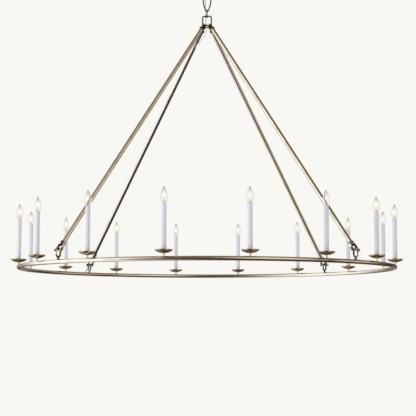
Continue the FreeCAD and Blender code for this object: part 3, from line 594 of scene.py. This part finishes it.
upper_cord = draw_cord("supply_cord_upper", upper_route, CORD_RADIUS, cord_silver)
middle_cord = draw_cord("supply_cord_middle", middle_route, CORD_RADIUS, cord_silver)
lower_cord = draw_cord("supply_cord_lower", lower_route, CORD_RADIUS, cord_silver)
ring_lead = draw_cord("ring_lead", lead_route, LEAD_RADIUS, lead_brown)
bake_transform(upper_cord)
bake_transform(middle_cord)
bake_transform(lower_cord)
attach(ring_lead, "frame")

# %% [markdown]
# ## The bulbs
# Each candle ends in a clear bulb with a flame's outline: a thin glass wall, a screw base, a glass stem and
# a glowing coil. A solid lump of glass would bend the light like a lens, so the wall has an outside and an
# inside, as blown glass has.
# The glass is tinted a little by height with painted shade, warm near the base and grey toward the tip,
# because a clear wall this thin would hardly show against the pale ground.

# %% Make the glass and the glowing coil
# Heights above the middle of the ring's tube.
BULB_FOOT = 199.5 * MM
BASE_TOP = 223.5 * MM
BULB_NECK = 226.0 * MM
BULB_BELLY = 250.5 * MM
BULB_TIP = 297.0 * MM
GLOW_SCALE = 500.0


def glass_finish():
    constants = {"Transmission Weight": 1.0, "IOR": 1.45, "Roughness": 0.02}
    material, bench, shader = new_finish("clear_glass", constants)
    height = bench.node("ShaderNodeSeparateXYZ", None, {"Vector": bench.where()}, "Z")
    share = (height - BULB_NECK) * (1 / (BULB_TIP - BULB_NECK))
    # These stops paint shade into the clear glass: warm near the base and grey toward the tip.
    stops = [
        (0.0, tone(237, 231, 226)),
        (0.1, tone(249, 242, 237)),
        (0.24, tone(254, 252, 249)),
        (0.6, tone(252, 252, 250)),
        (0.8, tone(237, 237, 236)),
        (1.0, tone(198, 197, 195)),
    ]
    feed(bench, shader, {"Base Color": bench.steps(share, stops)})
    return material


def glow_finish():
    constants = {"Base Color": tone(255, 226, 190), "Emission Strength": 1.0}
    material, bench, shader = new_finish("coil_glow", constants)
    hot = bench.noise(bench.where(), GLOW_SCALE, 2.0)
    feed(bench, shader, {"Emission Color": bench.blend(hot, tone(255, 236, 218), tone(255, 246, 238))})
    material.cycles.emission_sampling = "NONE"
    return material


clear_glass = glass_finish()
coil_glow = glow_finish()
print("glass and glow:", clear_glass.name, coil_glow.name)

# %% [markdown]
# ## The envelope
# Blown glass swells from a narrow neck to a belly and draws in to a pointed tip. A free curve could give
# that outline, but the CAD makes it from two arcs that meet upright at the belly. Two such arcs, the upper
# one a little shorter to leave room for a pip, keep this glass inside the CAD's. They run up the outside,
# close in the pip and come back down the inside.

# %% Turn the envelope
GLASS_WALL = 0.8 * MM
NECK_RADIUS = 7.0 * MM
BELLY_RADIUS = 16.0 * MM
TIP_RADIUS = 1.2 * MM
PIP_HEIGHT = 1.5 * MM
NEAR_AXIS = 0.05 * MM
LEAST_INSIDE = 0.25 * MM
COLLAR_DEPTH = 3 * MM
BASE_RADIUS = 5.6 * MM
GLASS_SIDES = 40
LOWER_ROUNDS = 14
UPPER_ROUNDS = 26
POINTS_ABOVE_HOLLOW = 4


def arc_profile(low, high, rounds, wall):
    """Points on an arc, upright at its wide end, from one (radius, height) to another, less a wall."""
    wide, narrow = (low, high) if low[0] > high[0] else (high, low)
    across = wide[0] - narrow[0]
    rise = abs(high[1] - low[1])
    bend = (across ** 2 + rise ** 2) / (2 * across)
    points = []
    for number in range(rounds + 1):
        height = low[1] + (high[1] - low[1]) * number / rounds
        drop = height - wide[1]
        radius = wide[0] - bend + math.sqrt(bend ** 2 - drop ** 2)
        points.append((radius - wall, height))
    return points


def envelope(wall):
    """The bulb's outline from its neck to its tip, drawn in by a wall."""
    belly = (BELLY_RADIUS, BULB_BELLY)
    lower = arc_profile((NECK_RADIUS, BULB_NECK), belly, LOWER_ROUNDS, wall)
    upper = arc_profile(belly, (TIP_RADIUS, BULB_TIP - PIP_HEIGHT), UPPER_ROUNDS, wall)
    return lower + upper[1:]


outside = envelope(0.0)
inside = [(max(radius, LEAST_INSIDE), height) for radius, height in envelope(GLASS_WALL)]
pip = [(1.15 * MM, BULB_TIP - 0.8 * MM), (0.7 * MM, BULB_TIP - 0.2 * MM), (NEAR_AXIS, BULB_TIP)]
collar = [(5.2 * MM, BASE_TOP - COLLAR_DEPTH), (BASE_RADIUS, BASE_TOP), (6.3 * MM, BULB_NECK - 0.6 * MM)]
hollow_top = [(NEAR_AXIS, BULB_TIP - 3.2 * MM)]
hollow_side = inside[::-1][POINTS_ABOVE_HOLLOW:]
collar_inside = [(4.6 * MM, BASE_TOP - COLLAR_DEPTH)]
shell = collar + outside + pip + hollow_top + hollow_side + collar_inside
points, faces = turned(shell, GLASS_SIDES, closed_loop=True)
glass_mesh = new_mesh("bulb_glass", points, faces, clear_glass)
print("glass points", len(glass_mesh.vertices))

# %% [markdown]
# ## Screw base, foot and stem
# The base is a thin brass shell rolled into a thread, and a dark foot insulates its contact. A helix cut by
# a boolean would be sharp and heavy. A rolled thread is soft, so a cosine wave that climbs with the angle
# gives it. The foot and the glass stem are plain turnings.

# %% Turn the screw base, the foot and the stem
THREAD_LOW = BULB_FOOT + 5 * MM
THREAD_PITCH = 2.6 * MM
THREAD_DEPTH = 0.3 * MM
THREAD_SIDES = 40
THREAD_ROWS = 56
FOOT_SIDES = 32
STEM_SIDES = 24


def screw_base():
    """The shell of the base, with a running thread."""
    rings = []
    for row in range(THREAD_ROWS + 1):
        height = THREAD_LOW + (BASE_TOP - THREAD_LOW) * row / THREAD_ROWS
        ring = []
        for side in range(THREAD_SIDES):
            angle = 2 * math.pi * side / THREAD_SIDES
            wave = math.cos(2 * math.pi * height / THREAD_PITCH - angle)
            radius = BASE_RADIUS + THREAD_DEPTH * wave
            ring.append((radius * math.cos(angle), radius * math.sin(angle), height))
        rings.append(ring)
    return join_rings(rings)


base_mesh = new_mesh("bulb_base", *screw_base(), pan_brass)
contact = BULB_FOOT + 0.2 * MM
foot_profile = [
    (NEAR_AXIS, contact),
    (2.4 * MM, contact),
    (3.3 * MM, BULB_FOOT + 0.9 * MM),
    (3.4 * MM, BULB_FOOT + 3.0 * MM),
    (5.5 * MM, BULB_FOOT + 5.2 * MM),
    (5.3 * MM, BULB_FOOT + 6.0 * MM),
]
foot_mesh = new_mesh("bulb_foot", *turned(foot_profile, FOOT_SIDES), holder_black)
stem_profile = [
    (5.0 * MM, BASE_TOP - 2 * MM),
    (3.2 * MM, BASE_TOP + 5 * MM),
    (1.7 * MM, BASE_TOP + 11 * MM),
    (1.9 * MM, BASE_TOP + 15 * MM),
    (NEAR_AXIS, BASE_TOP + 16 * MM),
]
stem_mesh = new_mesh("bulb_stem", *turned(stem_profile, STEM_SIDES), clear_glass)
print("thread points", len(base_mesh.vertices))

# %% [markdown]
# ## The coil and its leads
# A filament is a fine coil hung in a zigzag between two stiff wires. A bright tube would do from afar, but
# close by the windings show through the glass. So a thin wire is drawn along a coil on a zigzag line.

# %% Wind the coil and bend its two leads
# In millimetres: across the bulb, and above the middle of the ring's tube.
COIL_LEGS = [(-5.0, 252.0), (-2.6, 266.0), (0.0, 254.0), (2.6, 266.0), (5.0, 252.0)]
COIL_RADIUS = 0.55
TURNS_EACH = 9
POINTS_EACH_TURN = 10
COIL_WIRE = 0.22 * MM
COIL_SIDES = 6
LEAD_WIRE = 0.3 * MM
LEAD_SIDES = 8


def coil_line():
    """A fine coil on a zigzag line from one lead to the other."""
    steps_each = TURNS_EACH * POINTS_EACH_TURN
    line = []
    for (x0, z0), (x1, z1) in zip(COIL_LEGS, COIL_LEGS[1:]):
        length = math.hypot(x1 - x0, z1 - z0)
        for step in range(steps_each):
            share = step / steps_each
            angle = 2 * math.pi * TURNS_EACH * share
            side = COIL_RADIUS * math.cos(angle)
            normal = ((z1 - z0) / length, -(x1 - x0) / length)
            x = x0 + (x1 - x0) * share + normal[0] * side
            z = z0 + (z1 - z0) * share + normal[1] * side
            line.append(Vector((x, COIL_RADIUS * math.sin(angle), z)) * MM)
    return line


coil_mesh = new_mesh("bulb_coil", *drawn(coil_line(), COIL_WIRE, COIL_SIDES), coil_glow)


def lead_wire(side):
    line = [(side * 1.2, 0, 236), (side * 1.8, 0, 241), (side * 4.2, 0, 248), (side * 5.0, 0, 252.3)]
    return [Vector(point) * MM for point in line]


left_points, left_faces = drawn(lead_wire(-1), LEAD_WIRE, LEAD_SIDES)
right_points, right_faces = drawn(lead_wire(1), LEAD_WIRE, LEAD_SIDES)
shifted = [tuple(index + len(left_points) for index in face) for face in right_faces]
leads_mesh = new_mesh("bulb_leads", left_points + right_points, left_faces + shifted, plated_steel)
print("coil points", len(coil_mesh.vertices))

# %% [markdown]
# ## Sixteen of the same
# The bulbs stand evenly round the ring, half a step off the axis. Copies of the meshes would make them
# sixteen times as heavy, so every bulb shows the same six meshes, turned to its own place.

# %% Stand a bulb in every candle
BULBS = 16
for number in range(1, BULBS + 1):
    node = "bulb_%02d" % number
    turn = Matrix.Rotation(2 * math.pi * (number - 0.5) / BULBS, 4, "Z")
    place = turn @ Matrix.Translation((RING_RADIUS, 0, RING_HEIGHT))
    glass = new_piece(node + "_glass", glass_mesh, place)
    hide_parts(node)
    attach(glass, node)
    for part, mesh, slot in (
        ("base", base_mesh, "aged_brass"),
        ("foot", foot_mesh, "holder_black"),
        ("stem", stem_mesh, "clear_glass"),
        ("coil", coil_mesh, "clear_glass"),
        ("leads", leads_mesh, "plated_steel"),
    ):
        inner = new_piece("%s_%s" % (node, part), mesh, place)
        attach(inner, node)
print("bulbs", BULBS)

# %% [markdown]
# ## The floor
# The photograph has one even off-white ground with no line where a floor ends.
# A large lit board would show its edge. So the floor is a wide disk that takes a faint shade under the
# object and glows as the even ground does further out.

# %% Lay the floor
PAPER = tone(248, 247, 243)
FLOOR_HEIGHT = -2.7
FLOOR_RINGS = (0.01, 1.5, 4.0, 60.0)
FLOOR_SIDES = 64
FADE_LENGTH = 10.0


def floor_finish():
    """Pale board that takes a faint shade near the object and fades to the even ground further out."""
    material = bpy.data.materials.new("floor_pale")
    material.use_nodes = True
    material.node_tree.nodes.clear()
    bench = Bench(material.node_tree)
    reach = bench.node("ShaderNodeVectorMath", {"operation": "LENGTH"}, {0: bench.where()}, "Value")
    shaded = bench.steps(reach * (1 / FADE_LENGTH), [(0.06, 0.35), (0.34, 0.0)])
    board = bench.node("ShaderNodeBsdfDiffuse", None, {"Color": tone(246, 245, 241)})
    glow = bench.node("ShaderNodeEmission", None, {"Color": PAPER, "Strength": 1.0})
    both = bench.node("ShaderNodeMixShader", None, {0: shaded, 1: glow, 2: board})
    bench.show("ShaderNodeOutputMaterial", both)
    return material


points, faces = turned([(radius, 0.0) for radius in FLOOR_RINGS], FLOOR_SIDES)
floor_mesh = new_mesh("floor", points, faces, floor_finish())
floor = new_piece("floor", floor_mesh, Matrix.Translation((0, 0, FLOOR_HEIGHT)))
floor.visible_glossy = False
floor.visible_diffuse = False
print("floor at", FLOOR_HEIGHT)

# %% [markdown]
# ## The surroundings
# A wall behind the ring would block the other views, so the world itself is the off-white ground, to the
# camera and through glass.
# Metal needs something to mirror, so reflections see a plain studio: bright to the left, dark brown behind
# the camera, champagne to the right, and dark at the right back and in a narrow strip at the back.
# Other tones, mostly darker, lie above and below that band.
# Dull surfaces would take on those browns, so they see an even white tent instead.

# %% Surround it with a studio
MIRRORED_STRENGTH = 1.4
TENT_STRENGTH = 0.7


def studio(world):
    """The even ground to the camera and through glass, a white tent to dull surfaces, and to mirroring
    ones a room with light and dark sides. A bearing is 0.25 at the left, 0.5 at the camera, 0.75 at the
    right, and 0 or 1 at the back."""
    world.use_nodes = True
    tree = world.node_tree
    tree.nodes.clear()
    bench = Bench(tree)
    split = bench.node("ShaderNodeSeparateXYZ", None, {"Vector": bench.where("Generated")}, "X")
    turn = split.sum("ARCTAN2", split, 0.0 - split.out("Y"))
    bearing = turn * (0.5 / math.pi) + 0.5
    walls = bench.steps(bearing, [
        (0.00, tone(150, 142, 132)),
        (0.03, tone(24, 18, 14)),
        (0.06, tone(110, 98, 84)),
        (0.10, tone(150, 138, 122)),
        (0.135, tone(170, 158, 142)),
        (0.155, tone(246, 249, 255)),
        (0.345, tone(248, 250, 255)),
        (0.385, tone(178, 168, 150)),
        (0.43, tone(100, 86, 68)),
        (0.48, tone(58, 46, 33)),
        (0.52, tone(112, 97, 76)),
        (0.56, tone(212, 198, 172)),
        (0.61, tone(234, 221, 200)),
        (0.66, tone(226, 214, 195)),
        (0.695, tone(112, 96, 72)),
        (0.74, tone(206, 191, 171)),
        (0.79, tone(208, 195, 176)),
        (0.82, tone(146, 132, 112)),
        (0.845, tone(54, 46, 40)),
        (0.90, tone(46, 38, 34)),
        (0.94, tone(110, 101, 92)),
        (1.00, tone(150, 142, 132)),
    ])
    above = bench.steps(bearing, [
        (0.00, tone(150, 141, 129)),
        (0.12, tone(229, 228, 225)),
        (0.34, tone(237, 234, 228)),
        (0.40, tone(206, 196, 178)),
        (0.44, tone(76, 64, 49)),
        (0.505, tone(84, 71, 55)),
        (0.545, tone(170, 156, 132)),
        (0.585, tone(208, 198, 181)),
        (0.64, tone(201, 191, 175)),
        (0.68, tone(146, 132, 109)),
        (0.74, tone(94, 80, 63)),
        (0.80, tone(78, 66, 52)),
        (1.00, tone(150, 141, 129)),
    ])
    below = bench.steps(bearing, [
        (0.00, tone(84, 72, 58)),
        (0.10, tone(110, 98, 84)),
        (0.16, tone(233, 230, 223)),
        (0.30, tone(235, 232, 225)),
        (0.37, tone(70, 58, 44)),
        (0.55, tone(34, 27, 20)),
        (0.60, tone(62, 51, 38)),
        (0.68, tone(62, 51, 38)),
        (0.80, tone(36, 29, 21)),
        (1.00, tone(84, 72, 58)),
    ])
    top = tone(100, 87, 72)
    height = split.out("Z")
    rising = bench.blend(bench.fade(height, 0.16, 0.40), walls, above)
    upper = bench.blend(bench.fade(height, 0.70, 0.84), rising, top)
    lit = bench.blend(bench.fade(0.0 - height, 0.12, 0.42), upper, below)
    mirrored = bench.node("ShaderNodeBackground", None, {"Color": lit, "Strength": MIRRORED_STRENGTH})
    ground = bench.node("ShaderNodeBackground", None, {"Color": PAPER, "Strength": 1.0})
    white = {"Color": tone(253, 253, 255), "Strength": TENT_STRENGTH}
    tent = bench.node("ShaderNodeBackground", None, white)
    path = bench.node("ShaderNodeLightPath", None, None, "Is Camera Ray")
    seen = path.sum("MAXIMUM", path, path.out("Is Transmission Ray"))
    around = bench.node("ShaderNodeMixShader", None, {0: path.out("Is Diffuse Ray"), 1: mirrored, 2: tent})
    both = bench.node("ShaderNodeMixShader", None, {0: seen, 1: around, 2: ground})
    bench.show("ShaderNodeOutputWorld", both)
    world.cycles.sampling_method = "NONE"


world = bpy.data.worlds.new("studio")
bpy.context.scene.world = world
studio(world)
print("studio ready")

# %% [markdown]
# ## The lamps
# Two large soft disks give the white sleeves a light side and a shaded side.
# Lamps could light the metal too, but thin tubes mirror them as dots. So they are hidden from reflections,
# and light only dull surfaces.

# %% Hang the soft lights
LAMP_SIZE = 2.4
LAMP_COLOUR = tone(250, 251, 255)
KEY_PLACE = (-5.0, -2.6, -0.6)
KEY_POWER = 108
BACK_PLACE = (4.0, 4.0, -0.6)
BACK_POWER = 80


def soft_light(name, place, aim, power):
    data = bpy.data.lights.new(name, "AREA")
    data.shape = "DISK"
    data.size = LAMP_SIZE
    data.energy = power
    data.color = LAMP_COLOUR[:3]
    lamp = bpy.data.objects.new(name, data)
    lamp.location = place
    lamp.rotation_mode = "QUATERNION"
    lamp.rotation_quaternion = (Vector(aim) - Vector(place)).to_track_quat("-Z", "Y")
    lamp.visible_glossy = False
    lamp.visible_transmission = False
    bpy.context.scene.collection.objects.link(lamp)


middle = (0, 0, RING_HEIGHT)
soft_light("key_left", KEY_PLACE, middle, KEY_POWER)
soft_light("back_right", BACK_PLACE, middle, BACK_POWER)
print("lights ready")
